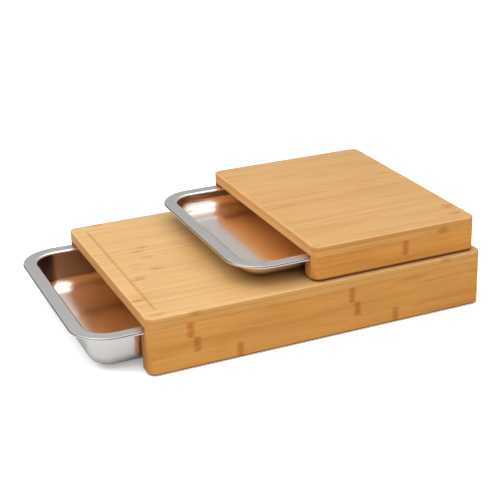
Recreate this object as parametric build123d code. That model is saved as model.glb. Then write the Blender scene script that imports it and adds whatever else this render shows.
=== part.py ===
from build123d import *
import os

os.makedirs("parts", exist_ok=True)

# Two bamboo cutting boards, one on the other, each with a sliding steel tray under it.
# Millimetres. X runs along the length, trays pull out towards -X. Y runs from front to back. Z is up.

# Driving sizes of the boards.
board_depth = 290.0
large_length = 405.0
small_length = 205.0
top_ply_thickness = 5.5
under_ply_thickness = 7.0
large_rail_height = 52.5
small_rail_height = 27.5
rail_thickness = 9.2
runner_thickness = 13.3
large_slot_height = 6.6
small_slot_height = 5.4
end_panel_thickness = 15.0
corner_radius = 9.0
edge_round = 1.2

# How far the small board stands back from the large one's right end and front.
small_inset_end = 6.7
small_inset_front = 4.9

# Groove across the large top.
groove_inset_end = 17.0
groove_inset_side = 21.5
groove_radius = 2.2
groove_depth = 0.9

# Pins that hold the rails and the end panel, glued in blind holes.
pin_diameter = 5.0
pin_in_rail = 15.0
pin_in_ply = 5.0
pin_end_inset = 40.0
pin_pitch = 100.0
pin_clearance = 0.05
pin_end_clearance = 0.4
panel_pin_diameter = 6.0
panel_pin_in_panel = 10.0
panel_pin_in_runner = 18.0

# Rubber feet with a stem pressed into the runners.
foot_diameter = 12.0
foot_height = 1.4
foot_round = 0.3
foot_stem_diameter = 6.0
foot_stem_length = 5.0
foot_stem_clearance = 0.05
foot_end_inset = 22.0

# Pressed steel trays.
tray_sheet = 0.8
tray_side_gap = 0.4
tray_end_gap = 0.5
tray_ride_gap = 0.1
tray_lip_height = 2.5
tray_lip_round = 1.4
tray_rim_corner_radius = 43.0
tray_wall_inset = 15.3
tray_wall_corner_radius = 28.0
tray_bend_radius = 3.0
tray_draft = 5.5
tray_floor_radius = 14.0
large_tray_depth = 44.0
small_tray_depth = 20.0
large_tray_out = 69.3
small_tray_out = 83.0

# Placement: the origin lies under the middle of the whole thing, on the surface it stands on.
origin_x = (large_length - large_tray_out) / 2
origin_y = (board_depth + max(small_inset_front, 0.0)) / 2
small_offset_x = large_length - small_length - small_inset_end
large_place = Location((-origin_x, -origin_y, foot_height))
large_total_height = large_rail_height + under_ply_thickness + top_ply_thickness
small_place = large_place * Location((small_offset_x, small_inset_front, large_total_height + foot_height))


def slab(x0, x1, y0, y1, z0, z1):
    """Plain block between two corners."""
    return Pos((x0 + x1) / 2, (y0 + y1) / 2, (z0 + z1) / 2) * Box(x1 - x0, y1 - y0, z1 - z0)


def outline(length, z0, z1):
    """Block with the board's rounded plan, its front left corner at the origin."""
    plan = Pos(length / 2, board_depth / 2, z0) * RectangleRounded(length, board_depth, corner_radius)
    return extrude(plan, z1 - z0)


def envelope(length, rail_height):
    """Rounded block that rails, runners and end panel are cut from."""
    block = outline(length, 0, rail_height)
    return fillet(block.edges().group_by(Axis.Z)[0], edge_round)


def rail_pin_points(length):
    """Centres of the pins in both rails, evenly spread along the board."""
    count = max(2, round((length - 2 * pin_end_inset) / pin_pitch) + 1)
    step = (length - 2 * pin_end_inset) / (count - 1)
    rows = (rail_thickness / 2, board_depth - rail_thickness / 2)
    return [(pin_end_inset + i * step, y) for y in rows for i in range(count)]


def runner_rows():
    """Middle lines of the front and rear runner."""
    inset = rail_thickness + runner_thickness / 2
    return (inset, board_depth - inset)


def foot_points(length):
    """Centres of the four feet, in the middle of the runners."""
    return [(x, y) for y in runner_rows() for x in (foot_end_inset, length - foot_end_inset)]


def upright(points, diameter, z0, z1):
    """Upright round pegs at the given points."""
    return [Pos(x, y, (z0 + z1) / 2) * Cylinder(diameter / 2, z1 - z0) for x, y in points]


def top_ply(length, z0, grooved):
    """Upper layer of a board, with its top edge eased and the groove where the board has one."""
    ply = outline(length, z0, z0 + top_ply_thickness)
    ply = fillet(ply.edges().group_by(Axis.Z)[-1], edge_round)
    if grooved:
        z = z0 + top_ply_thickness + groove_radius - groove_depth
        y0 = groove_inset_side + groove_radius
        y1 = board_depth - y0
        ply -= Pos(groove_inset_end, board_depth / 2, z) * Rot(X=90) * Cylinder(groove_radius, y1 - y0)
        for y in (y0, y1):
            ply -= Pos(groove_inset_end, y, z) * Sphere(groove_radius)
    return ply


def under_ply(length, z0):
    """Lower layer of a board, with the blind holes for the rail pins."""
    ply = outline(length, z0, z0 + under_ply_thickness)
    bore = pin_diameter + 2 * pin_clearance
    for hole in upright(rail_pin_points(length), bore, z0 - 1, z0 + pin_in_ply + pin_end_clearance):
        ply -= hole
    return ply


def rail(length, rail_height, rear):
    """Outer side board, front or rear."""
    y0 = board_depth - rail_thickness if rear else 0.0
    block = slab(0, length, y0, y0 + rail_thickness, 0, rail_height) & envelope(length, rail_height)
    bore = pin_diameter + 2 * pin_clearance
    depth = pin_in_rail + pin_end_clearance
    points = [p for p in rail_pin_points(length) if y0 < p[1] < y0 + rail_thickness]
    for hole in upright(points, bore, rail_height - depth, rail_height + 1):
        block -= hole
    return block


def panel_pins(length, height, end, grow):
    """Round pegs along X from the end panel into both runners."""
    x0 = length - end_panel_thickness - panel_pin_in_runner - end
    x1 = length - end_panel_thickness + panel_pin_in_panel + end
    shape = Rot(Y=90) * Cylinder(panel_pin_diameter / 2 + grow, x1 - x0)
    return [Pos((x0 + x1) / 2, y, height / 2) * shape for y in runner_rows()]


def runner(length, rail_height, slot_height, rear):
    """Strip inside a rail whose top carries the tray rim."""
    height = rail_height - slot_height
    near = board_depth - rail_thickness - runner_thickness if rear else rail_thickness
    strip = slab(0, length - end_panel_thickness, near, near + runner_thickness, 0, height)
    strip &= envelope(length, rail_height)
    row = runner_rows()[1 if rear else 0]
    for x in (foot_end_inset, length - foot_end_inset):
        bore = foot_stem_diameter + 2 * foot_stem_clearance
        strip -= upright([(x, row)], bore, -1, foot_stem_length + pin_end_clearance)[0]
    return strip - panel_pins(length, height, pin_end_clearance, pin_clearance)[1 if rear else 0]


def end_panel(length, rail_height, slot_height):
    """Board that closes the right end between the rails and stops the tray."""
    x0 = length - end_panel_thickness
    panel = slab(x0, length, rail_thickness, board_depth - rail_thickness, 0, rail_height)
    panel &= envelope(length, rail_height)
    for hole in panel_pins(length, rail_height - slot_height, pin_end_clearance, pin_clearance):
        panel -= hole
    return panel


def foot(x, y):
    """Rubber foot: a low disc under the runner and a stem in its hole."""
    disc = Pos(0, 0, -foot_height / 2) * Cylinder(foot_diameter / 2, foot_height)
    disc = fillet(disc.edges().group_by(Axis.Z)[0], foot_round)
    stem = Pos(0, 0, foot_stem_length / 2) * Cylinder(foot_stem_diameter / 2, foot_stem_length)
    return Pos(x, y, 0) * (disc + stem)


def tray_cup(length, width, corner, depth, floor_radius):
    """Drafted cup with a rounded floor edge, its mouth at z = 0."""
    mouth = Plane(origin=(0, 0, 0), z_dir=(0, 0, -1)) * RectangleRounded(length, width, corner)
    cup = extrude(mouth, depth, taper=tray_draft)
    return fillet(cup.edges().group_by(Axis.Z)[0], floor_radius)


def tray(length, depth):
    """Pressed tray with a flat rim and a turned-down lip, centred, its rim top at z = 0."""
    width = board_depth - 2 * (rail_thickness + tray_side_gap)
    rim = RectangleRounded(length, width, tray_rim_corner_radius)
    wall_length = length - 2 * tray_wall_inset
    wall_width = width - 2 * tray_wall_inset
    body = extrude(Pos(0, 0, -tray_sheet) * rim, tray_sheet)
    body += tray_cup(wall_length, wall_width, tray_wall_corner_radius, depth, tray_floor_radius)
    underside = body.faces().filter_by(Axis.Z).sort_by(Axis.Z)[-2]
    body = fillet(underside.inner_wires()[0].edges(), tray_bend_radius - tray_sheet)
    hole = RectangleRounded(length - 2 * tray_sheet, width - 2 * tray_sheet, tray_rim_corner_radius - tray_sheet)
    lip = extrude(Pos(0, 0, -tray_lip_height) * (rim - hole), tray_lip_height)
    body = body + lip
    body = fillet(body.edges().group_by(Axis.Z)[-1], tray_lip_round)
    cover = extrude(rim, tray_bend_radius)
    corner = tray_wall_corner_radius - tray_sheet
    space = cover + tray_cup(
        wall_length - 2 * tray_sheet,
        wall_width - 2 * tray_sheet,
        corner,
        depth - tray_sheet,
        tray_floor_radius - tray_sheet,
    )
    ledge = space.faces().filter_by(Axis.Z).sort_by(Axis.Z)[-2]
    space = fillet(ledge.inner_wires()[0].edges(), tray_bend_radius)
    return body - space


def placed_tray(length, rail_height, slot_height, depth, out):
    """Tray hung on its runners, pulled out of the board by the given distance."""
    tray_length = length - end_panel_thickness - tray_end_gap
    rim_top = rail_height - slot_height + tray_ride_gap + tray_lip_height
    return Pos(tray_length / 2 - out, board_depth / 2, rim_top) * tray(tray_length, depth)


def board_pieces(length, rail_height, slot_height, tray_depth, tray_out, grooved):
    """All pieces of one board with its tray, by name."""
    top = rail_height + under_ply_thickness
    pins = upright(rail_pin_points(length), pin_diameter, rail_height - pin_in_rail, rail_height + pin_in_ply)
    return {
        "top_ply": top_ply(length, top, grooved),
        "under_ply": under_ply(length, rail_height),
        "front_rail": rail(length, rail_height, False),
        "rear_rail": rail(length, rail_height, True),
        "front_runner": runner(length, rail_height, slot_height, False),
        "rear_runner": runner(length, rail_height, slot_height, True),
        "end_panel": end_panel(length, rail_height, slot_height),
        "rail_pins": Compound(pins),
        "panel_pins": Compound(panel_pins(length, rail_height - slot_height, 0.0, 0.0)),
        "feet": Compound([foot(x, y) for x, y in foot_points(length)]),
        "tray": placed_tray(length, rail_height, slot_height, tray_depth, tray_out),
    }


large = board_pieces(
    large_length, large_rail_height, large_slot_height, large_tray_depth, large_tray_out, True
)
small = board_pieces(
    small_length, small_rail_height, small_slot_height, small_tray_depth, small_tray_out, False
)
for name, piece in large.items():
    export_step(large_place * piece, "parts/large_" + name + ".step")
for name, piece in small.items():
    export_step(small_place * piece, "parts/small_" + name + ".step")
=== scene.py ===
import math

import bmesh
import bpy
import numpy as np
from bpy.props import FloatProperty, FloatVectorProperty, PointerProperty
from bpy.types import Operator, Panel, PropertyGroup
from mathutils import Matrix, Vector


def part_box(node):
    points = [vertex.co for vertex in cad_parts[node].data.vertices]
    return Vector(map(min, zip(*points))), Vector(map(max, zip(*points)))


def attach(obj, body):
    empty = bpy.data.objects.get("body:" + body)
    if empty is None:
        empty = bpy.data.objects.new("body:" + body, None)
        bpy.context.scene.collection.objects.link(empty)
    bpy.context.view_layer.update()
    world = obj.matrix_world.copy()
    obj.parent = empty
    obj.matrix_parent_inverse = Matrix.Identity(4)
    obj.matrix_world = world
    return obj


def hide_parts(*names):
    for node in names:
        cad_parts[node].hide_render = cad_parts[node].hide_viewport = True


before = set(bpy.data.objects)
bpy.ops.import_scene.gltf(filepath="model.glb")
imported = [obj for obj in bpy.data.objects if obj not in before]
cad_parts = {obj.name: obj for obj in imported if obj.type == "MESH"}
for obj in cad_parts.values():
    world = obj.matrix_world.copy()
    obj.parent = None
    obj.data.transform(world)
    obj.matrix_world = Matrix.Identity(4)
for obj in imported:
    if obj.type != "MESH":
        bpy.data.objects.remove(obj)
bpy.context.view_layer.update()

bl_info = {
    "name": "Stacked cutting boards with sliding trays",
    "version": (1, 0, 0),
    "blender": (4, 5, 0),
    "location": "3D View > Sidebar > Boards",
    "description": "Gives the boards their bamboo, makes the pressed steel trays and sets the studio",
    "category": "Object",
}

BOARDS = ("large", "small")


# ---------------------------------------------------------------------------
# Settings

# What all the colours share.
RGB = {"subtype": "COLOR", "size": 3, "min": 0.0, "max": 1.0}


class BambooSettings(PropertyGroup):
    """Colours and grain of the bamboo."""

    light: FloatVectorProperty(
        name="Light strip",
        description="Colour of the palest strips on a cutting face",
        default=(0.545, 0.345, 0.144),
        **RGB,
    )
    dark: FloatVectorProperty(
        name="Dark strip",
        description="Colour of the darkest strips on a cutting face",
        default=(0.452, 0.253, 0.083),
        **RGB,
    )
    side_light: FloatVectorProperty(
        name="Light side",
        description="Palest colour of the rails' faces",
        default=(0.735, 0.385, 0.092),
        **RGB,
    )
    side_dark: FloatVectorProperty(
        name="Dark side",
        description="Darkest colour of the rails' faces",
        default=(0.560, 0.240, 0.038),
        **RGB,
    )
    ply_light: FloatVectorProperty(
        name="Light ply edge",
        description="Palest colour of the plies seen from the side",
        default=(0.690, 0.400, 0.128),
        **RGB,
    )
    ply_dark: FloatVectorProperty(
        name="Dark ply edge",
        description="Darkest colour of the plies seen from the side",
        default=(0.600, 0.300, 0.070),
        **RGB,
    )
    # Painted light: these colours are brighter and more orange than the bamboo's own, standing in for the
    # light that reaches the undersides and runners, and giving the brown seen in the trays.
    painted_lit_inner_light: FloatVectorProperty(
        name="Light inside",
        description="Palest colour of the faces over and beside the trays",
        default=(0.980, 0.500, 0.160),
        **RGB,
    )
    painted_lit_inner_dark: FloatVectorProperty(
        name="Dark inside",
        description="Darkest colour of the faces over and beside the trays",
        default=(0.900, 0.400, 0.110),
        **RGB,
    )
    # The stem node tint is also the colour of the painted shade in the groove.
    stem_node_and_groove_shade: FloatVectorProperty(
        name="Stem node",
        description="Tint that multiplies the colour where the stem had its nodes, and on streaks and joints",
        default=(0.70, 0.41, 0.15),
        **RGB,
    )
    end_grain: FloatVectorProperty(
        name="End grain",
        description="Tint that multiplies the colour on sawn ends",
        default=(0.94, 0.84, 0.74),
        **RGB,
    )
    # Painted shade: a dark line along the lowest edge, where a rail stands on the floor or on the board
    # beneath.
    low_edge_shade: FloatVectorProperty(
        name="Shaded edge",
        description="Tint that multiplies the colour along the lowest edge of the rails and end panels",
        default=(0.28, 0.12, 0.035),
        **RGB,
    )
    small_tint: FloatVectorProperty(
        name="Small board tint",
        description="What the small board's colours are multiplied by",
        default=(0.92, 0.86, 0.74),
        **RGB,
    )
    small_rail_tint: FloatVectorProperty(
        name="Small rail tint",
        description="What the colours of the small board's rails are multiplied by",
        default=(0.96, 0.88, 0.70),
        **RGB,
    )
    top_strip: FloatProperty(
        name="Top strip width",
        description="Width of a strip on the cutting faces",
        default=0.0052,
        min=0.002,
        max=0.03,
        unit="LENGTH",
    )
    side_strip: FloatProperty(
        name="Side strip height",
        description="Height of the strips stacked in a rail, counted from its top",
        default=0.0175,
        min=0.004,
        max=0.06,
        unit="LENGTH",
    )
    stem_pitch: FloatProperty(
        name="Stem node pitch",
        description="Distance between two node marks of one strip",
        default=0.19,
        min=0.05,
        max=0.6,
        unit="LENGTH",
    )
    roughness: FloatProperty(
        name="Roughness",
        description="Roughness of the oiled surface",
        default=0.46,
        min=0.0,
        max=1.0,
        subtype="FACTOR",
    )


class TraySettings(PropertyGroup):
    """Sizes of the pressed sheet and its finish."""

    sheet: FloatProperty(
        name="Sheet",
        description="Thickness of the steel",
        default=0.0008,
        min=0.0003,
        max=0.003,
        unit="LENGTH",
    )
    lip_height: FloatProperty(
        name="Lip height",
        description="How far the outer edge is turned down",
        default=0.0025,
        min=0.001,
        max=0.01,
        unit="LENGTH",
    )
    lip_round: FloatProperty(
        name="Lip round",
        description="Radius of the turned edge",
        default=0.0014,
        min=0.0009,
        max=0.002,
        unit="LENGTH",
    )
    rim_corner: FloatProperty(
        name="Rim corner",
        description="Radius of the rim's corners seen from above",
        default=0.043,
        min=0.035,
        max=0.08,
        unit="LENGTH",
    )
    wall_inset: FloatProperty(
        name="Wall inset",
        description="From the rim's edge to the outside of the wall",
        default=0.0153,
        min=0.005,
        max=0.03,
        unit="LENGTH",
    )
    bend: FloatProperty(
        name="Bend",
        description="Radius between the rim and the wall, on the upper side",
        default=0.003,
        min=0.001,
        max=0.008,
        unit="LENGTH",
    )
    draft: FloatProperty(
        name="Draft",
        description="Lean of the walls",
        default=math.radians(5.5),
        min=0.0,
        max=0.5,
        subtype="ANGLE",
    )
    floor_round: FloatProperty(
        name="Floor round",
        description="Radius between the wall and the floor, on the underside",
        default=0.014,
        min=0.002,
        max=0.018,
        unit="LENGTH",
    )
    # Warmed beyond plain steel: a painted reflection of the brown bamboo inside the trays.
    steel: FloatVectorProperty(
        name="Steel",
        description="Colour of the sheet",
        default=(0.95, 0.87, 0.82),
        **RGB,
    )
    satin: FloatVectorProperty(
        name="Satin steel",
        description="Colour of the brushed rim",
        default=(0.58, 0.565, 0.55),
        **RGB,
    )
    satin_roughness: FloatProperty(
        name="Satin roughness",
        description="Roughness of the brushed rim",
        default=0.34,
        min=0.0,
        max=1.0,
        subtype="FACTOR",
    )
    bright_roughness: FloatProperty(
        name="Bright roughness",
        description="Roughness of the polished cup",
        default=0.125,
        min=0.0,
        max=1.0,
        subtype="FACTOR",
    )


class StageSettings(PropertyGroup):
    """Floor, lights and camera."""

    floor: FloatVectorProperty(
        name="Floor",
        description="Colour of the floor",
        default=(0.92, 0.92, 0.92),
        **RGB,
    )
    top_power: FloatProperty(
        name="Top light",
        description="Power of the large soft light overhead",
        default=5.0,
        min=0.0,
        unit="POWER",
    )
    left_power: FloatProperty(
        name="Left light",
        description="Power of the soft light at the trays' end",
        default=24.0,
        min=0.0,
        unit="POWER",
    )
    front_power: FloatProperty(
        name="Front light",
        description="Power of the soft light beside the camera",
        default=18.0,
        min=0.0,
        unit="POWER",
    )
    sky: FloatProperty(
        name="Sky",
        description="Strength of the light from all round",
        default=0.95,
        min=0.0,
    )
    camera_place: FloatVectorProperty(
        name="Camera place",
        description="Where the camera stands",
        subtype="TRANSLATION",
        size=3,
        default=(-0.50364, -1.22219, 0.60339),
    )
    camera_turn: FloatProperty(
        name="Camera turn",
        description="Direction the camera stands in, from the front towards the right",
        default=math.radians(-24.94),
        subtype="ANGLE",
    )
    camera_rise: FloatProperty(
        name="Camera rise",
        description="How steeply the camera looks down",
        default=math.radians(22.53),
        subtype="ANGLE",
    )
    camera_roll: FloatProperty(
        name="Camera roll",
        description="Turn of the camera about its view",
        default=math.radians(-1.04),
        subtype="ANGLE",
    )
    lens: FloatProperty(
        name="Lens",
        description="Focal length on a 36 mm sensor",
        default=87.42,
        min=10.0,
        unit="CAMERA",
    )


# ---------------------------------------------------------------------------
# Fixed values, in metres unless said otherwise

# Where the nodes of a graph are laid out, in Blender's node units.
NODE_LEFT, NODE_TOP = -1200, 500
NODE_PITCH = 210
NODE_ROWS = 5
SHADER_PLACE, OUTPUT_PLACE = (1500, 200), (1800, 200)

# Where the Mix node keeps its factor, its two colours and its mixed colour.
MIX_FACTOR, MIX_FIRST, MIX_SECOND, MIX_RESULT = 0, 6, 7, 2

# How often noise repeats per metre along the grain and across it both ways.
FINE_FIBRES = (18.0, 1500.0, 1500.0)
BROAD_FIBRES = (6.0, 320.0, 320.0)
LONG_STREAKS = (8.0, 150.0, 150.0)
MARK_RIPPLE = (60.0, 420.0, 420.0)
MARK_MOTTLE = (300.0, 700.0, 700.0)
BRUSH_LINES = (35.0, 2600.0, 2600.0)

# How often noise repeats per metre where it is the same all ways.
BUNDLE_NOISE, BUNDLE_SIZE_NOISE, SAWN_NOISE = 1150.0, 240.0, 90.0
WEAR_AND_HIGHLIGHT_NOISE = 160.0
DENT_NOISE = 22.0
RUBBER_NOISE = 3200.0

# Length and strength of a stem node's mark, the share of the pitch by which chance moves the marks,
# where they start, and how far they ripple.
PLANK_MARK, RAIL_MARK = (0.0095, 0.7), (0.0052, 0.9)
MARK_SCATTER = 0.3
MARK_START = -0.098
RIPPLE_REACH = 0.0045

# The distance between stem nodes as a share of the setting, and the marks' places on the three
# highest strips of the fronts.
PLY_PITCH, SMALL_TOP_PITCH = 1.6, 2.4
RAIL_PITCH = {"large": 1.0, "small": 1.25}
RAIL_MARKS = {
    "large_front_rail": (-0.1208, -0.1142, -0.0656),
    "small_front_rail": (0.139, 0.245, 0.0),
}

# Bamboo strips and joints, how high painted shade darkens a runner's lower edge, and how high
# painted shade darkens a rail's lower edge where it stands on the floor or on the board beneath.
UNDER_STRIP, RUNNER_STRIP, PIN_STRIP = 0.018, 0.016, 0.0025
SEAM_CORE, SEAM_EDGE = 0.00004, 0.00034
PLY_JOINT = 0.0005
RUNNER_EDGE_SHADE = 0.0016
LOW_EDGE_SHADE_HEIGHT = {"large": 0.0022, "small": 0.0032}

# The groove's painted shade sets in at its rim, is full at a depth, and stays this far from the board's
# sides.
GROOVE_RIM, GROOVE_SHADE_DEPTH = 0.00008, 0.0007
GROOVE_FROM_SIDE = (0.010, 0.014)

# Worn edges with a painted highlight, and how far a side of the box is pushed out to have none.
WEAR_AND_HIGHLIGHT_WIDTH = 0.0022
NO_WEAR_OR_HIGHLIGHT = 0.1

# Sizes of soft patches, colours that lie over the settings' own, and depths of the bumps.
OIL_PATCH, HANDLED_PATCH, DUST_PATCH = 0.07, 0.05, 0.006
PALE_EDGE_WEAR_AND_HIGHLIGHT = (0.80, 0.55, 0.27)
UNDER_FLANK_TINT = (0.98, 0.95, 0.88)
HANDLED_STEEL = (0.25, 0.25, 0.25)
CREASE_PAINTED_SHADE = (0.05, 0.05, 0.05)
CLEAN_RUBBER, DUSTY_RUBBER = (0.028, 0.026, 0.025), (0.060, 0.055, 0.050)
GRAIN_DEPTH, STEEL_DEPTH, RUBBER_DEPTH = 0.00009, 0.00002, 0.00003

# The trays' mesh: steps round each arc of the section, steps round a corner of the rim and along its
# sides, and rings of the wall and of the flat floors as shares of the way.
FLOOR_ARC, BEND_ARC, LIP_ARC, LIP_UNDER_ARC = 30, 12, 8, 5
CORNER_STEPS, SIDE_STEPS = 36, 16
WALL_SHARES = (0.02, 0.34, 0.66, 0.98)
FLOOR_SHARES = (0.97, 0.8, 0.55, 0.28, 0.06)

# Extra rings beside the ends of the arcs, and the break of the lip's cut edge.
GROUND_RING, FLAT_RING = 0.0005, 0.0004
CUT_EDGE = 0.0001

# The stage: the floor's colours for bounced and for reflected light, its glow for the camera, the
# point that the lights face, and the camera. The sensor's width is in millimetres.
FLOOR_HALF = 8.0
FLOOR_FOR_BOUNCES, BOUNCE_SHARE = (0.40, 0.32, 0.25), 0.85
FLOOR_FOR_GLOSS = (0.43, 0.46, 0.475)
FLOOR_GLOW = 0.3
WHITE = (1.0, 1.0, 1.0, 1.0)
LIT_POINT = (0.0, 0.0, 0.05)
SENSOR_WIDTH = 36.0
SHIFT_X, SHIFT_Y = -0.0827, 0.0027
CLIP_START, CLIP_END = 0.05, 50.0


# ---------------------------------------------------------------------------
# Shader node helpers


class Graph:
    """Short calls that lay shader nodes in columns and join them."""

    def __init__(self, tree):
        self.tree = tree
        self.count = 0

    def node(self, kind, values=(), **settings):
        """Adds a node, sets its properties, then feeds its first sockets in order."""
        made = self.tree.nodes.new(kind)
        column, row = divmod(self.count, NODE_ROWS)
        made.location = (NODE_LEFT + column * NODE_PITCH, NODE_TOP - row * NODE_PITCH)
        self.count += 1
        for key, value in settings.items():
            setattr(made, key, value)
        for value, socket in zip(values, made.inputs):
            self.feed(value, socket)
        return made

    def feed(self, value, socket):
        """Links a socket, or sets a constant."""
        if isinstance(value, bpy.types.NodeSocket):
            self.tree.links.new(value, socket)
        elif value is not None:
            socket.default_value = value

    def math(self, operation, *values):
        """The result of a sum with numbers."""
        return self.node("ShaderNodeMath", values, operation=operation).outputs[0]

    def vector(self, operation, *values):
        """The result of a sum with vectors."""
        return self.node("ShaderNodeVectorMath", values, operation=operation).outputs[0]

    def weigh(self, first, share, second):
        """A share of the first value plus the rest of the second."""
        return self.math("MULTIPLY_ADD", first, share, self.math("MULTIPLY", second, 1.0 - share))

    def stretch(self, vector, amounts):
        """Vector times a constant for each axis."""
        return self.vector("MULTIPLY", vector, amounts)

    def split(self, vector):
        """The three parts of a vector."""
        return self.node("ShaderNodeSeparateXYZ", (vector,)).outputs

    def join(self, x, y, z):
        """A vector from its three parts."""
        return self.node("ShaderNodeCombineXYZ", (x, y, z)).outputs[0]

    def step(self, value, low, high, at_low=0.0, at_high=1.0):
        """Smooth step from at_low at low to at_high at high."""
        values = (value, low, high, at_low, at_high)
        return self.node("ShaderNodeMapRange", values, interpolation_type="SMOOTHSTEP").outputs[0]

    def mix(self, factor, first, second, blend="MIX"):
        """Mixes two colours."""
        made = self.node("ShaderNodeMix", data_type="RGBA", blend_type=blend)
        self.feed(factor, made.inputs[MIX_FACTOR])
        self.feed(colour(first), made.inputs[MIX_FIRST])
        self.feed(colour(second), made.inputs[MIX_SECOND])
        return made.outputs[MIX_RESULT]

    def lay(self, body, coat, mask, strength, blend="MIX"):
        """Lays a coat over a colour where the mask shows, at most as strong as given."""
        return self.mix(self.math("MULTIPLY", mask, strength), body, coat, blend)

    def noise(self, vector, scale=1.0, detail=2.0, roughness=0.5, distortion=0.0):
        """Soft noise from 0 to 1."""
        made = self.node("ShaderNodeTexNoise")
        self.feed(vector, made.inputs["Vector"])
        self.feed(scale, made.inputs["Scale"])
        self.feed(detail, made.inputs["Detail"])
        self.feed(roughness, made.inputs["Roughness"])
        self.feed(distortion, made.inputs["Distortion"])
        return made.outputs[0]

    def random(self, value):
        """A steady random number from 0 to 1 for each value."""
        made = self.node("ShaderNodeTexWhiteNoise", noise_dimensions="1D")
        self.feed(value, made.inputs["W"])
        return made.outputs["Value"]

    def group(self, tree, **values):
        """Places a node group and feeds its inputs by name, with _ for a space."""
        made = self.node("ShaderNodeGroup", node_tree=tree)
        for key, value in values.items():
            self.feed(value, made.inputs[key.replace("_", " ")])
        return made.outputs


def colour(value):
    """Three numbers made four for a colour socket; sockets pass through."""
    if isinstance(value, bpy.types.NodeSocket):
        return value
    return (*value[:3], 1.0)


def new_group(name, inputs, outputs):
    """An empty shader group with the given sockets, its graph and its two ends."""
    tree = bpy.data.node_groups.new(name, "ShaderNodeTree")
    for label, kind, default in inputs:
        made = tree.interface.new_socket(name=label, in_out="INPUT", socket_type="NodeSocket" + kind)
        if default is not None:
            made.default_value = default
    for label in outputs:
        tree.interface.new_socket(name=label, in_out="OUTPUT", socket_type="NodeSocketFloat")
    graph = Graph(tree)
    return tree, graph, graph.node("NodeGroupInput").outputs, graph.node("NodeGroupOutput").inputs


def shared_group(name, build):
    """The group of that name, built the first time it is asked for."""
    return bpy.data.node_groups.get(name) or build(name)


def build_bamboo_grain(name):
    """Bamboo strips: the grain runs along X, the strips lie side by side across Y.

    Tone is one random tone per strip with slow drift along it. Fibres are fine lines, and
    Streaks are longer and wider brown ones. Nodes are the brown marks, one per pitch on each
    strip, and Seams the glue lines. Start moves all marks along the grain, Places moves those of
    the first three strips, and Scatter is the share of a pitch by which chance moves them.
    """
    tree, g, given, out = new_group(
        name,
        (
            ("Vector", "Vector", None),
            ("Strip Width", "Float", 0.005),
            ("Pitch", "Float", 0.2),
            ("Scatter", "Float", 1.0),
            ("Start", "Float", 0.0),
            ("Places", "Vector", (0.0, 0.0, 0.0)),
            ("Mark Length", "Float", 0.007),
            ("Seed", "Float", 0.0),
        ),
        ("Tone", "Fibres", "Streaks", "Nodes", "Seams"),
    )
    vector, pitch, seed = given["Vector"], given["Pitch"], given["Seed"]
    x, y, _ = g.split(vector)
    across = g.math("DIVIDE", y, given["Strip Width"])
    row = g.math("FLOOR", across)
    # Each strip's tag is its own, and the numbers with it keep the random draws apart.
    tag = g.math("ADD", row, seed)
    own = g.random(tag)
    own_shift = g.random(g.math("MULTIPLY_ADD", tag, 1.37, 40.0))
    three_strips = g.math("FLOOR", g.math("DIVIDE", row, 3.0))
    cluster = g.random(g.math("ADD", three_strips, g.math("ADD", seed, 90.0)))

    fine = g.noise(g.stretch(vector, FINE_FIBRES), 1.0, 3.0, 0.6)
    broad = g.noise(g.stretch(vector, BROAD_FIBRES), 1.0, 2.0, 0.5)
    fibres = g.step(g.weigh(fine, 0.55, broad), 0.32, 0.68)
    drift = g.noise(g.join(g.math("MULTIPLY", x, 7.0), g.math("MULTIPLY", tag, 3.7), seed), 1.0, 1.0)
    tone = g.weigh(own, 0.62, g.step(drift, 0.25, 0.75))
    long = g.vector("ADD", g.stretch(vector, LONG_STREAKS), g.join(seed, 0.0, 0.0))
    streaks = g.step(g.noise(long, 1.0, 3.0, 0.55, distortion=0.6), 0.46, 0.72)

    # Along counts pitches from the first mark, and near is the closest one's distance in mark lengths.
    start = given["Start"]
    for i, place in enumerate(g.split(given["Places"])):
        on_strip = g.math("COMPARE", row, float(i), 0.5)
        start = g.math("MULTIPLY_ADD", on_strip, place, start)
    chance = g.math("MULTIPLY", given["Scatter"], g.math("MULTIPLY_ADD", own_shift, 0.12, cluster))
    along = g.math("ADD", g.math("DIVIDE", g.math("SUBTRACT", x, start), pitch), chance)
    turn = g.math("ADD", along, 0.5)
    signed = g.math("MULTIPLY", g.math("SUBTRACT", g.math("FRACT", turn), 0.5), pitch)
    ripple = g.math("SUBTRACT", g.noise(g.stretch(vector, MARK_RIPPLE), 1.0, 3.0, 0.6), 0.5)
    near = g.math("ABSOLUTE", g.math("MULTIPLY_ADD", ripple, RIPPLE_REACH, signed))
    near = g.math("DIVIDE", near, given["Mark Length"])
    mottle = g.noise(g.stretch(vector, MARK_MOTTLE), 1.0, 3.0, 0.6)
    strength = g.random(g.math("MULTIPLY_ADD", g.math("FLOOR", turn), 5.3, tag))
    strength = g.step(strength, 0.45, 0.95)
    strength = g.math("MAXIMUM", strength, g.step(given["Scatter"], 0.0, 0.05, 1.0, 0.0))
    core = g.step(near, 0.1, 0.5, 1.0, 0.0)
    halo = g.math("MULTIPLY", g.step(near, 0.6, 1.0, 1.0, 0.0), g.step(mottle, 0.3, 0.6, 0.65, 1.0))
    mark = g.math("MULTIPLY", g.weigh(core, 0.32, halo), g.math("MULTIPLY_ADD", fine, 0.7, 0.6))

    # Seams run where one strip ends and the next begins.
    share = g.math("FRACT", across)
    edge = g.math("MINIMUM", share, g.math("SUBTRACT", 1.0, share))
    seams = g.step(g.math("MULTIPLY", edge, given["Strip Width"]), SEAM_CORE, SEAM_EDGE, 1.0, 0.0)

    g.feed(tone, out["Tone"])
    g.feed(fibres, out["Fibres"])
    g.feed(streaks, out["Streaks"])
    g.feed(g.math("MINIMUM", g.math("MULTIPLY", mark, strength), 1.0), out["Nodes"])
    g.feed(g.math("MULTIPLY", seams, g.math("MULTIPLY_ADD", own_shift, 0.6, 0.4)), out["Seams"])
    return tree


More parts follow.
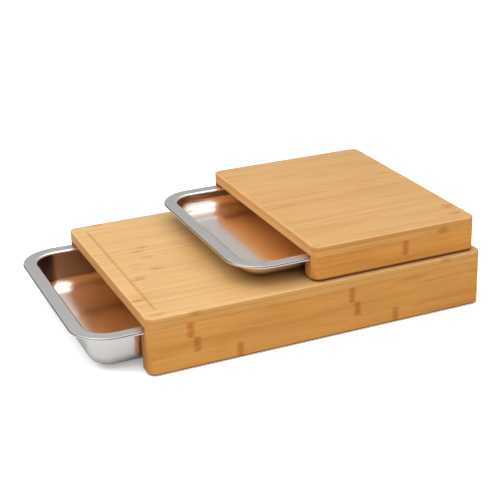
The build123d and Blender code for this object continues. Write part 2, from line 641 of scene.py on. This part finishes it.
def build_end_grain(name):
    """Sawn bamboo: dark bundle ends of uneven size in a paler ground, and a soft cloud."""
    tree, g, given, out = new_group(
        name,
        (("Vector", "Vector", None), ("Seed", "Float", 0.0)),
        ("Bundles", "Cloud"),
    )
    _, y, z = g.split(given["Vector"])
    flat = g.join(g.math("MULTIPLY", given["Seed"], 3.1), y, z)
    cells = g.node("ShaderNodeTexVoronoi")
    g.feed(flat, cells.inputs["Vector"])
    g.feed(BUNDLE_NOISE, cells.inputs["Scale"])
    size = g.math("MULTIPLY_ADD", g.noise(flat, BUNDLE_SIZE_NOISE, 2.0), 0.35, 0.12)
    bundles = g.step(g.math("SUBTRACT", cells.outputs["Distance"], size), -0.08, 0.14, 1.0, 0.0)
    g.feed(bundles, out["Bundles"])
    g.feed(g.noise(flat, SAWN_NOISE, 2.0), out["Cloud"])
    return tree


def build_edge_wear_and_highlight(name):
    """How near a point lies to the edges of a box, broken up by noise: 1 on the edge, 0 a width away.

    On a face one distance to the box's sides is zero, so the middle one of the three is the
    distance to the nearest edge. Inset is the distance to the nearest side seen from above.
    """
    tree, g, given, out = new_group(
        name,
        (
            ("Vector", "Vector", None),
            ("Low", "Vector", (0.0, 0.0, 0.0)),
            ("High", "Vector", (1.0, 1.0, 1.0)),
            ("Width", "Float", 0.002),
        ),
        ("Wear and Highlight", "Inset"),
    )
    from_low = g.vector("SUBTRACT", given["Vector"], given["Low"])
    from_high = g.vector("SUBTRACT", given["High"], given["Vector"])
    x, y, z = g.split(g.vector("MINIMUM", from_low, from_high))
    inset = g.math("MINIMUM", x, y)
    middle = g.math("MAXIMUM", inset, g.math("MINIMUM", g.math("MAXIMUM", x, y), z))
    rough = g.noise(given["Vector"], WEAR_AND_HIGHLIGHT_NOISE, 3.0, 0.6)
    width = g.math("MULTIPLY", given["Width"], g.math("MULTIPLY_ADD", rough, 1.6, 0.3))
    g.feed(g.step(g.math("DIVIDE", middle, width), 0.1, 1.0, 1.0, 0.0), out["Wear and Highlight"])
    g.feed(inset, out["Inset"])
    return tree


def build_cloud(name):
    """Soft irregular patches of a given size, as oil and wiping leave them, and specks in them."""
    tree, g, given, out = new_group(
        name,
        (("Vector", "Vector", None), ("Size", "Float", 0.06), ("Seed", "Float", 0.0)),
        ("Patches", "Specks"),
    )
    seed, size = given["Seed"], given["Size"]
    offset = g.join(g.math("MULTIPLY", seed, 1.9), g.math("MULTIPLY", seed, 0.7), 0.0)
    scaled = g.vector("ADD", g.vector("DIVIDE", given["Vector"], g.join(size, size, size)), offset)
    g.feed(g.step(g.noise(scaled, 1.0, 3.0, 0.55), 0.3, 0.7), out["Patches"])
    g.feed(g.noise(scaled, 9.0, 4.0, 0.65), out["Specks"])
    return tree


# ---------------------------------------------------------------------------
# Materials


def new_material(name):
    """A material with its tree's graph, its Principled shader and the texture coordinates."""
    material = bpy.data.materials.new(name)
    material.use_nodes = True
    tree = material.node_tree
    shader = next(n for n in tree.nodes if n.type == "BSDF_PRINCIPLED")
    shader.location = SHADER_PLACE
    next(n for n in tree.nodes if n.type == "OUTPUT_MATERIAL").location = OUTPUT_PLACE
    graph = Graph(tree)
    return material, graph, shader, graph.node("ShaderNodeTexCoord").outputs


def paint(node, material):
    """Puts a material on every slot of a CAD node."""
    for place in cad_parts[node].material_slots:
        place.material = material


def add_bump(g, shader, height, depth):
    """Feeds a height, in units of depth metres, to the shader's normal."""
    bump = g.node("ShaderNodeBump")
    g.feed(1.0, bump.inputs["Strength"])
    g.feed(depth, bump.inputs["Distance"])
    g.feed(height, bump.inputs["Height"])
    g.feed(bump.outputs[0], shader.inputs["Normal"])


def box_of(node, **beyond):
    """The node's box; beyond pushes a side out so that its edges show neither worn colour nor painted
    highlight, as in top=NO_WEAR_OR_HIGHLIGHT.
    """
    low, high = (list(v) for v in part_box(node))
    sides = {
        "left": (low, 0, -1),
        "right": (high, 0, 1),
        "front": (low, 1, -1),
        "rear": (high, 1, 1),
        "bottom": (low, 2, -1),
        "top": (high, 2, 1),
    }
    for side, amount in beyond.items():
        corner, axis, sign = sides[side]
        corner[axis] += sign * amount
    return tuple(low), tuple(high)


def tinted(colours, amount):
    """A pair of colours, each channel times its share of amount."""
    return tuple(tuple(v * k for v, k in zip(c, amount)) for c in colours)


def bamboo(
    name,
    node,
    seed,
    faces,
    flanks,
    strip,
    cut="plank",
    pitch=1.0,
    marks=None,
    groove=0.0,
    line=0.0,
    streaks=0.34,
    **beyond,
):
    """Oiled bamboo for one piece.

    faces and flanks are pairs of a light and a dark colour: the flanks are the sides that stand
    upright. cut tells how the strips lie: side by side in a plank, stacked from the top down in a
    rail, the same but running along Y in a panel, and standing up in a pin. Ends across the
    grain look sawn. strip is the width of a strip, and seed sets the piece's pattern apart from
    the others'. pitch is the distance between the stem nodes of a strip as a share of the
    setting, and marks gives their places on the three highest strips. groove is the depth below
    the top at which painted shade darkens a groove in full, and line the height over the lower
    edge that is darkened: the dark line where the plies meet, and painted shade along the lower
    edge of the rails, end panels and runners. streaks is how strong the long brown streaks are.
    Worn colour and a painted highlight show on the edges of the node's box, apart from the sides
    that beyond pushes out.
    """
    tints = bpy.context.scene.bamboo_settings
    low, high = box_of(node)
    bottom, top = low[2], high[2]
    material, g, shader, coords = new_material(name)
    place = coords["Object"]
    x, y, z = g.split(place)
    nx, ny, nz = g.split(coords["Normal"])
    down = g.math("SUBTRACT", top, z)
    upright = cut in ("rail", "panel")
    axes = {"plank": (x, y, z), "rail": (x, down, y), "panel": (y, down, x), "pin": (z, x, y)}
    mark_length, mark_strength = RAIL_MARK if upright else PLANK_MARK
    grain = g.group(
        shared_group("bamboo_grain", build_bamboo_grain),
        Vector=g.join(*axes[cut]),
        Strip_Width=strip,
        Pitch=pitch * tints.stem_pitch,
        Scatter=0.0 if marks else MARK_SCATTER,
        Start=0.0 if marks else MARK_START,
        Places=marks or (0.0, 0.0, 0.0),
        Mark_Length=mark_length,
        Seed=seed,
    )
    cloud = g.group(shared_group("soft_cloud", build_cloud), Vector=place, Size=OIL_PATCH, Seed=seed)
    ends = g.group(shared_group("end_grain", build_end_grain), Vector=place, Seed=seed)
    low, high = box_of(node, **beyond)
    wear_and_highlight = g.group(
        shared_group("edge_wear_and_highlight", build_edge_wear_and_highlight), Vector=place, Low=low, High=high, Width=WEAR_AND_HIGHLIGHT_WIDTH
    )

    light, dark = faces
    level = g.math("ABSOLUTE", nz)
    if flanks != faces:
        on_flank = g.step(level, 0.35, 0.9, 1.0, 0.0)
        light = g.mix(on_flank, light, flanks[0])
        dark = g.mix(on_flank, dark, flanks[1])
    body = g.mix(g.weigh(grain["Fibres"], 0.42, grain["Tone"]), light, dark)
    body = g.lay(body, dark, cloud["Patches"], 0.34)
    shade = g.math("MULTIPLY_ADD", grain["Streaks"], streaks, g.math("MULTIPLY", grain["Seams"], 0.2))
    body = g.mix(shade, body, tints.stem_node_and_groove_shade, "MULTIPLY")
    body = g.lay(body, tints.stem_node_and_groove_shade, grain["Nodes"], mark_strength, "MULTIPLY")

    sawn = g.mix(1.0, g.lay(light, dark, grain["Tone"], 0.5), tints.end_grain, "MULTIPLY")
    sawn = g.lay(sawn, tints.stem_node_and_groove_shade, ends["Bundles"], 0.5, "MULTIPLY")
    sawn = g.lay(sawn, dark, ends["Cloud"], 0.2)
    along = {"panel": ny, "pin": nz}.get(cut, nx)
    on_end = g.step(g.math("ABSOLUTE", along), 0.55, 0.9)
    body = g.mix(on_end, body, sawn)
    # Pale edges: worn colour, and a painted highlight where the rounded edges catch the light.
    body = g.lay(body, PALE_EDGE_WEAR_AND_HIGHLIGHT, wear_and_highlight["Wear and Highlight"], 0.22)
    # Painted shade darkens the groove.
    if groove:
        groove_shade = g.step(z, top - groove, top - GROOVE_RIM, 1.0, 0.0)
        groove_shade = g.math("MULTIPLY", groove_shade, g.step(wear_and_highlight["Inset"], *GROOVE_FROM_SIDE))
        body = g.lay(body, tints.stem_node_and_groove_shade, groove_shade, 0.45, "MULTIPLY")
    # On the plies this darkens the line where they meet; on the rails, end panels and runners it paints shade
    # along the lower edge.
    if line:
        joint_or_edge_shade = g.step(g.math("SUBTRACT", z, bottom), 0.4 * line, line, 1.0, 0.0)
        joint_or_edge_shade = g.math("MULTIPLY", joint_or_edge_shade, g.step(level, 0.9, 0.999, 1.0, 0.0))
        body = g.mix(joint_or_edge_shade, body, tints.low_edge_shade if upright else tints.stem_node_and_groove_shade, "MULTIPLY")

    rough = g.math("MULTIPLY_ADD", grain["Fibres"], 0.10, tints.roughness - 0.05)
    rough = g.math("MULTIPLY_ADD", cloud["Specks"], 0.08, rough)
    rough = g.math("MULTIPLY_ADD", on_end, 0.14, rough)
    g.feed(body, shader.inputs["Base Color"])
    g.feed(rough, shader.inputs["Roughness"])
    height = g.math("MULTIPLY_ADD", grain["Fibres"], 0.35, g.math("MULTIPLY", grain["Seams"], -0.9))
    height = g.math("MULTIPLY_ADD", grain["Nodes"], 0.5, height)
    height = g.math("MULTIPLY_ADD", g.math("MULTIPLY", ends["Bundles"], on_end), -0.6, height)
    add_bump(g, shader, height, GRAIN_DEPTH)
    return material


def steel(name, settings):
    """Stainless sheet: brushed satin where the satin attribute is 1, polished where it is 0.

    The crease attribute is 1 along the bend between rim and lip, where painted shade darkens it.
    """
    material, g, shader, coords = new_material(name)
    place = coords["Object"]
    satin = g.node("ShaderNodeAttribute", attribute_name="satin").outputs["Fac"]
    crease = g.node("ShaderNodeAttribute", attribute_name="crease").outputs["Fac"]
    lines = g.noise(g.stretch(place, BRUSH_LINES), 1.0, 3.0, 0.6)
    cloud = g.group(shared_group("soft_cloud", build_cloud), Vector=place, Size=HANDLED_PATCH, Seed=3.0)
    # The polished colour carries a painted warm reflection of the bamboo.
    body = g.mix(satin, settings.steel, settings.satin)
    body = g.lay(body, HANDLED_STEEL, g.weigh(lines, 0.5, cloud["Patches"]), 0.12)
    # Painted shade darkens the bend between rim and lip.
    body = g.lay(body, CREASE_PAINTED_SHADE, crease, 0.85)
    g.feed(body, shader.inputs["Base Color"])
    g.feed(1.0, shader.inputs["Metallic"])
    span = settings.satin_roughness - settings.bright_roughness
    rough = g.math("MULTIPLY_ADD", satin, span, settings.bright_roughness)
    rough = g.math("MULTIPLY_ADD", cloud["Specks"], 0.05, rough)
    rough = g.math("MULTIPLY_ADD", lines, 0.02, rough)
    g.feed(rough, shader.inputs["Roughness"])
    dents = g.math("MULTIPLY", g.noise(place, DENT_NOISE, 0.0), 1.2)
    brushed = g.math("MULTIPLY", lines, g.math("MULTIPLY_ADD", satin, 0.78, 0.01))
    add_bump(g, shader, g.math("ADD", brushed, dents), STEEL_DEPTH)
    return material


def rubber(name):
    """Matt dark rubber with fine moulding grain and dusty patches."""
    material, g, shader, coords = new_material(name)
    place = coords["Object"]
    cloud = g.group(shared_group("soft_cloud", build_cloud), Vector=place, Size=DUST_PATCH, Seed=9.0)
    g.feed(g.lay(CLEAN_RUBBER, DUSTY_RUBBER, cloud["Patches"], 0.5), shader.inputs["Base Color"])
    g.feed(g.math("MULTIPLY_ADD", cloud["Specks"], 0.2, 0.62), shader.inputs["Roughness"])
    add_bump(g, shader, g.noise(place, RUBBER_NOISE, 2.0), RUBBER_DEPTH)
    return material


# ---------------------------------------------------------------------------
# Pressed trays


def arc(centre, radius, start, end, steps):
    """Points on a circle: centre plus radius times (cos, sin) of angles from start to end, in degrees."""
    angle = np.radians(np.linspace(start, end, steps + 1))
    return np.stack((centre[0] + radius * np.cos(angle), centre[1] + radius * np.sin(angle)), 1)


def wall_point(inset, draft, height):
    """A point of a leaning wall: its inset at height zero less height times the draft's tangent."""
    return np.array((inset - height * math.tan(draft), height))


def skin(inset, level, bottom, bend, floor_round, draft):
    """One side of the sheet as (distance in from the rim's edge, height), from the floor up to the rim.

    The floor runs into an arc of floor_round that meets a wall leaning by the draft, and an arc of
    radius bend, centred below the rim's level, turns the wall into the flat rim.
    """
    lean = math.degrees(draft)
    out = np.array((math.cos(draft), math.sin(draft)))
    foot = wall_point(inset, draft, bottom + floor_round * (1.0 - math.sin(draft)))
    head = wall_point(inset, draft, level - bend * (1.0 - math.sin(draft)))
    lower = arc(foot + floor_round * out, floor_round, 270.0, 180.0 + lean, FLOOR_ARC)
    upper = arc(head - bend * out, bend, lean, 90.0, BEND_ARC)
    share = np.array(WALL_SHARES)[:, None]
    wall = lower[-1] + (upper[0] - lower[-1]) * share
    ground = lower[:1] + np.array((GROUND_RING, 0.0))
    return np.concatenate((ground, lower, wall, upper))


def tray_section(s, depth):
    """The whole section as points (distance in, height), with its satin and crease values.

    It runs over the inner floor, the wall, the rim and the lip, and back underneath. Satin is 1 on
    the rim, and crease on the middle of the turn between rim and lip.
    """
    inner = skin(s.wall_inset + s.sheet, 0.0, s.sheet - depth, s.bend, s.floor_round - s.sheet, s.draft)
    outer = skin(s.wall_inset, -s.sheet, -depth, s.bend - s.sheet, s.floor_round, s.draft)
    radius = s.lip_round
    flat = np.array(((inner[-1, 0] - FLAT_RING, 0.0), (radius + FLAT_RING, 0.0)))
    turned = arc((radius, -radius), radius, 90.0, 180.0, LIP_ARC)
    edge = np.array(
        (
            (0.0, CUT_EDGE - s.lip_height),
            (CUT_EDGE, -s.lip_height),
            (s.sheet - CUT_EDGE, -s.lip_height),
            (s.sheet, CUT_EDGE - s.lip_height),
        )
    )
    under = arc((radius, -radius), radius - s.sheet, 180.0, 90.0, LIP_UNDER_ARC)
    back = np.array(((radius + FLAT_RING, -s.sheet), (outer[-1, 0] - FLAT_RING, -s.sheet)))
    points = np.concatenate((inner, flat, turned, edge, under, back, outer[::-1]))
    # Satin sets in on the last steps of the inner bend. The crease fades at both ends of its five rings.
    rim_end = len(inner) + len(flat)
    satin, crease = np.zeros((2, len(points)))
    satin[len(inner) - 3 : rim_end] = 1.0
    crease[rim_end + 2 : rim_end + 7] = (0.5, 1.0, 1.0, 1.0, 0.5)
    return points, satin, crease


def rim_path(length, width, corner):
    """Round a rounded rectangle: centres on the inner rectangle and outward directions, as arrays.

    A point at a distance d in from the edge is the centre plus (corner - d) times the direction.
    """
    half = np.array((length / 2 - corner, width / 2 - corner))
    signs = np.array(((1, 1), (-1, 1), (-1, -1), (1, -1)))
    centres, directions = [], []
    for i in range(4):
        here, there = half * signs[i], half * signs[(i + 1) % 4]
        angle = np.linspace(i, i + 1, CORNER_STEPS + 1) * math.pi / 2
        centres.append(np.repeat(here[None], CORNER_STEPS + 1, 0))
        directions.append(np.stack((np.cos(angle), np.sin(angle)), 1))
        share = np.linspace(0, 1, SIDE_STEPS + 1)[1:-1, None]
        centres.append(here + (there - here) * share)
        directions.append(np.repeat(directions[-1][-1:], SIDE_STEPS - 1, 0))
    return np.concatenate(centres), np.concatenate(directions)


def make_tray(name, node, settings):
    """A tray in the place of its CAD node.

    Each point of the section is carried round the rim's path, and the flat floors go on as
    copies of their outer ring drawn in towards the middle.
    """
    low, high = (np.array(v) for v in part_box(node))
    size, middle = high - low, (high + low) / 2
    section, satin, crease = tray_section(settings, size[2])
    centres, directions = rim_path(size[0], size[1], settings.rim_corner)
    rings = centres[None] + (settings.rim_corner - section[:, 0])[:, None, None] * directions[None]
    heights = section[:, 1]
    shrink = np.array(FLOOR_SHARES)
    count = len(shrink)
    first = rings[0] * shrink[::-1, None, None]
    last = rings[-1] * shrink[:, None, None]
    rings = np.concatenate((first, rings, last))
    heights = np.pad(heights, count, "edge")
    marks = {"satin": np.pad(satin, count), "crease": np.pad(crease, count)}
    levels, around = rings.shape[:2]
    points = np.empty((levels, around, 3))
    points[..., :2] = rings + middle[:2]
    points[..., 2] = (heights + high[2])[:, None]

    index = np.arange(levels * around).reshape(levels, around)
    after = np.roll(index, -1, axis=1)
    quads = np.stack((index[:-1], after[:-1], after[1:], index[1:]), -1).reshape(-1, 4)
    faces = quads.tolist() + [index[0].tolist(), index[-1].tolist()]
    mesh = bpy.data.meshes.new(name)
    mesh.from_pydata(points.reshape(-1, 3).tolist(), [], faces)
    for key, values in marks.items():
        attribute = mesh.attributes.new(key, "FLOAT", "POINT")
        attribute.data.foreach_set("value", np.repeat(values, around).astype(np.float32))
    work = bmesh.new()
    work.from_mesh(mesh)
    bmesh.ops.recalc_face_normals(work, faces=work.faces)
    work.to_mesh(mesh)
    work.free()
    mesh.polygons.foreach_set("use_smooth", np.ones(len(mesh.polygons), bool))
    mesh.update()
    tray = bpy.data.objects.new(name, mesh)
    bpy.context.scene.collection.objects.link(tray)
    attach(tray, node)
    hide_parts(node)
    return tray


# ---------------------------------------------------------------------------
# Stage


def make_floor(scene, settings):
    """A wide pale floor, seen white by the camera, warm and dark by bounced light, grey in gloss."""
    half = FLOOR_HALF
    corners = [(-half, -half, 0), (half, -half, 0), (half, half, 0), (-half, half, 0)]
    mesh = bpy.data.meshes.new("floor")
    mesh.from_pydata(corners, [], [(0, 1, 2, 3)])
    floor = bpy.data.objects.new("floor", mesh)
    scene.collection.objects.link(floor)
    material, g, shader, coords = new_material("floor_paint")
    darker = tuple(0.985 * v for v in settings.floor)
    ray = g.node("ShaderNodeLightPath").outputs
    seen = g.mix(g.noise(coords["Object"], 2.0, 2.0), settings.floor, darker)
    seen = g.lay(seen, FLOOR_FOR_BOUNCES, ray["Is Diffuse Ray"], BOUNCE_SHARE)
    seen = g.mix(ray["Is Glossy Ray"], seen, FLOOR_FOR_GLOSS)
    g.feed(seen, shader.inputs["Base Color"])
    g.feed(WHITE, shader.inputs["Emission Color"])
    g.feed(g.math("MULTIPLY", ray["Is Camera Ray"], FLOOR_GLOW), shader.inputs["Emission Strength"])
    g.feed(0.9, shader.inputs["Roughness"])
    g.feed(0.1, shader.inputs["Specular IOR Level"])
    mesh.materials.append(material)


def make_sky(scene, settings):
    """White light from all round, dimmer low down in front and at the back left, and near the horizon."""
    world = bpy.data.worlds.new("studio")
    world.use_nodes = True
    scene.world = world
    g = Graph(world.node_tree)
    background = next(n for n in world.node_tree.nodes if n.type == "BACKGROUND")
    # A direction's three parts run from -1 to 1.
    x, y, z = g.split(g.node("ShaderNodeTexCoord").outputs["Generated"])
    front = g.step(y, -0.5, 0.0, 1.0, 0.0)
    back_left = g.math("MULTIPLY", g.step(x, -0.35, -0.1, 1.0, 0.0), g.step(y, 0.2, 0.5))
    low_down = g.step(z, 0.30, 0.55, 0.92, 0.0)
    dim = g.math("MULTIPLY", g.math("MAXIMUM", front, back_left), low_down)
    height = g.step(z, 0.35, 0.75, 0.56, 1.0)
    sky = g.math("MULTIPLY", g.math("MULTIPLY", g.math("SUBTRACT", 1.0, dim), height), settings.sky)
    # The camera itself sees a plain white sky.
    seen = g.node("ShaderNodeLightPath").outputs["Is Camera Ray"]
    g.feed(g.math("MAXIMUM", seen, sky), background.inputs["Strength"])
    g.feed(WHITE, background.inputs["Color"])


def make_light(scene, name, place, size, power, in_gloss=True):
    """A square soft light that faces the boards; in_gloss says whether reflections show it."""
    data = bpy.data.lights.new(name, "AREA")
    data.shape = "SQUARE"
    data.size = size
    data.energy = power
    light = bpy.data.objects.new(name, data)
    light.location = place
    light.rotation_euler = (Vector(place) - Vector(LIT_POINT)).to_track_quat("Z", "Y").to_euler()
    light.visible_glossy = in_gloss
    scene.collection.objects.link(light)


def make_camera(scene, settings):
    """The camera: its axes are worked out from its turn, its rise and its roll."""
    turn, rise, roll = settings.camera_turn, settings.camera_rise, settings.camera_roll
    across = Vector((math.cos(turn), math.sin(turn), 0.0))
    back = Vector(
        (math.sin(turn) * math.cos(rise), -math.cos(turn) * math.cos(rise), math.sin(rise))
    )
    up = back.cross(across)
    right = math.cos(roll) * across + math.sin(roll) * up
    above = math.cos(roll) * up - math.sin(roll) * across
    data = bpy.data.cameras.new("camera")
    data.lens = settings.lens
    data.sensor_width = SENSOR_WIDTH
    data.shift_x, data.shift_y = SHIFT_X, SHIFT_Y
    data.clip_start, data.clip_end = CLIP_START, CLIP_END
    camera = bpy.data.objects.new("camera", data)
    facing = Matrix((right, above, back)).transposed().to_4x4()
    camera.matrix_world = Matrix.Translation(settings.camera_place) @ facing
    scene.collection.objects.link(camera)
    scene.camera = camera


# ---------------------------------------------------------------------------
# Operators


class BOARDS_OT_top_plies(Operator):
    """Bamboo with narrow strips for the two cutting faces"""

    bl_idname = "boards.top_plies"
    bl_label = "Top plies"

    def execute(self, context):
        s = context.scene.bamboo_settings
        faces, flanks = (s.light, s.dark), (s.ply_light, s.ply_dark)
        made = bamboo(
            "large_top_bamboo", "large_top_ply", seed=11.0, faces=faces, flanks=flanks, strip=s.top_strip,
            pitch=PLY_PITCH, groove=GROOVE_SHADE_DEPTH, line=PLY_JOINT, streaks=0.2, bottom=NO_WEAR_OR_HIGHLIGHT,
        )
        paint("large_top_ply", made)
        faces, flanks = (tinted(pair, s.small_tint) for pair in (faces, flanks))
        made = bamboo(
            "small_top_bamboo", "small_top_ply", seed=211.0, faces=faces, flanks=flanks, strip=s.top_strip,
            pitch=SMALL_TOP_PITCH, line=PLY_JOINT, bottom=NO_WEAR_OR_HIGHLIGHT,
        )
        paint("small_top_ply", made)
        return {"FINISHED"}


class BOARDS_OT_under_plies(Operator):
    """Bamboo for the lower layers"""

    bl_idname = "boards.under_plies"
    bl_label = "Lower plies"

    def execute(self, context):
        s = context.scene.bamboo_settings
        # The faces over the trays take the brightened colours that paint in light.
        faces = (s.painted_lit_inner_light, s.painted_lit_inner_dark)
        flanks = tinted((s.ply_light, s.ply_dark), UNDER_FLANK_TINT)
        for i, board in enumerate(BOARDS):
            node = board + "_under_ply"
            made = bamboo(
                node + "_bamboo", node, seed=57.0 + 90 * i, faces=faces, flanks=flanks, strip=UNDER_STRIP,
                pitch=PLY_PITCH, line=PLY_JOINT, bottom=NO_WEAR_OR_HIGHLIGHT, top=NO_WEAR_OR_HIGHLIGHT,
            )
            paint(node, made)
        return {"FINISHED"}


class BOARDS_OT_rails(Operator):
    """Bamboo with stacked strips for the rails and the end panels"""

    bl_idname = "boards.rails"
    bl_label = "Rails and end panels"

    def execute(self, context):
        s = context.scene.bamboo_settings
        parts = (("front_rail", "rail"), ("rear_rail", "rail"), ("end_panel", "panel"))
        sides = {"large": (s.side_light, s.side_dark)}
        sides["small"] = tinted(sides["large"], s.small_rail_tint)
        for i, board in enumerate(BOARDS):
            for j, (part, cut) in enumerate(parts):
                node = board + "_" + part
                # Each rail and end panel gets painted shade along its lower edge.
                made = bamboo(
                    node + "_bamboo", node, seed=31.0 + 70 * i + 23 * j,
                    faces=sides[board], flanks=sides[board], strip=s.side_strip, cut=cut,
                    pitch=RAIL_PITCH[board], marks=RAIL_MARKS.get(node),
                    line=LOW_EDGE_SHADE_HEIGHT[board], top=NO_WEAR_OR_HIGHLIGHT,
                )
                paint(node, made)
        return {"FINISHED"}


class BOARDS_OT_runners(Operator):
    """Plain bamboo for the strips that carry the trays"""

    bl_idname = "boards.runners"
    bl_label = "Runners"

    def execute(self, context):
        s = context.scene.bamboo_settings
        # The runners' faces take the brightened colours that paint in light.
        faces, flanks = (s.painted_lit_inner_light, s.painted_lit_inner_dark), (s.side_light, s.side_dark)
        for i, board in enumerate(BOARDS):
            for j, part in enumerate(("front_runner", "rear_runner")):
                node = board + "_" + part
                # The runners' lower edge gets painted shade.
                made = bamboo(
                    node + "_bamboo", node, seed=83.0 + 41 * i + 17 * j,
                    faces=faces, flanks=flanks, strip=RUNNER_STRIP, cut="rail", line=RUNNER_EDGE_SHADE,
                )
                paint(node, made)
        return {"FINISHED"}


class BOARDS_OT_pins(Operator):
    """Pale dowel wood for the pins"""

    bl_idname = "boards.pins"
    bl_label = "Pins"

    def execute(self, context):
        s = context.scene.bamboo_settings
        faces = (s.light, s.dark)
        for i, board in enumerate(BOARDS):
            for j, (part, cut) in enumerate((("rail_pins", "pin"), ("panel_pins", "plank"))):
                node = board + "_" + part
                seed = 120.0 + 33 * i + 7 * j
                made = bamboo(node + "_wood", node, seed, faces, faces, PIN_STRIP, cut=cut)
                paint(node, made)
        return {"FINISHED"}


class BOARDS_OT_feet(Operator):
    """Rubber for the feet"""

    bl_idname = "boards.feet"
    bl_label = "Feet"

    def execute(self, context):
        made = rubber("foot_rubber")
        for board in BOARDS:
            paint(board + "_feet", made)
        return {"FINISHED"}


class BOARDS_OT_trays(Operator):
    """Pressed steel trays with a satin rim and a polished cup"""

    bl_idname = "boards.trays"
    bl_label = "Trays"

    def execute(self, context):
        s = context.scene.tray_settings
        made = steel("tray_steel", s)
        for board in BOARDS:
            tray = make_tray(board + "_pressed_tray", board + "_tray", s)
            tray.data.materials.append(made)
        return {"FINISHED"}


class BOARDS_OT_stage(Operator):
    """Pale floor, soft lights and the camera"""

    bl_idname = "boards.stage"
    bl_label = "Stage"

    def execute(self, context):
        scene = context.scene
        s = scene.stage_settings
        make_floor(scene, s)
        make_sky(scene, s)
        make_light(scene, "top_softbox", place=(0.1, 0.15, 1.5), size=1.5, power=s.top_power)
        make_light(scene, "left_softbox", place=(-0.85, -0.05, 1.45), size=1.7, power=s.left_power)
        make_light(
            scene, "front_softbox", place=(0.35, -1.5, 1.3), size=2.0, power=s.front_power, in_gloss=False
        )
        make_camera(scene, s)
        scene.view_settings.view_transform = "Standard"
        return {"FINISHED"}


class BOARDS_PT_panel(Panel):
    """Lists the steps that dress the boards"""

    bl_label = "Cutting boards"
    bl_idname = "BOARDS_PT_panel"
    bl_space_type = "VIEW_3D"
    bl_region_type = "UI"
    bl_category = "Boards"

    def draw(self, context):
        for step in STEPS:
            self.layout.operator(step.bl_idname)
        for group in ("bamboo_settings", "tray_settings", "stage_settings"):
            settings = getattr(context.scene, group)
            column = self.layout.column(heading=group.replace("_", " ").capitalize())
            for key in settings.bl_rna.properties.keys():
                if key not in ("rna_type", "name"):
                    column.prop(settings, key)


STEPS = (
    BOARDS_OT_top_plies,
    BOARDS_OT_under_plies,
    BOARDS_OT_rails,
    BOARDS_OT_runners,
    BOARDS_OT_pins,
    BOARDS_OT_feet,
    BOARDS_OT_trays,
    BOARDS_OT_stage,
)
CLASSES = (BambooSettings, TraySettings, StageSettings, *STEPS, BOARDS_PT_panel)


def register():
    """Adds the classes to Blender, and the settings to its scenes."""
    for item in CLASSES:
        bpy.utils.register_class(item)
    bpy.types.Scene.bamboo_settings = PointerProperty(type=BambooSettings)
    bpy.types.Scene.tray_settings = PointerProperty(type=TraySettings)
    bpy.types.Scene.stage_settings = PointerProperty(type=StageSettings)


def unregister():
    """Takes away what register added."""
    del bpy.types.Scene.stage_settings
    del bpy.types.Scene.tray_settings
    del bpy.types.Scene.bamboo_settings
    for item in reversed(CLASSES):
        bpy.utils.unregister_class(item)


def main():
    """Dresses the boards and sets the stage."""
    register()
    bpy.ops.boards.top_plies()
    bpy.ops.boards.under_plies()
    bpy.ops.boards.rails()
    bpy.ops.boards.runners()
    bpy.ops.boards.pins()
    bpy.ops.boards.feet()
    bpy.ops.boards.trays()
    bpy.ops.boards.stage()


if __name__ == "__main__":
    main()
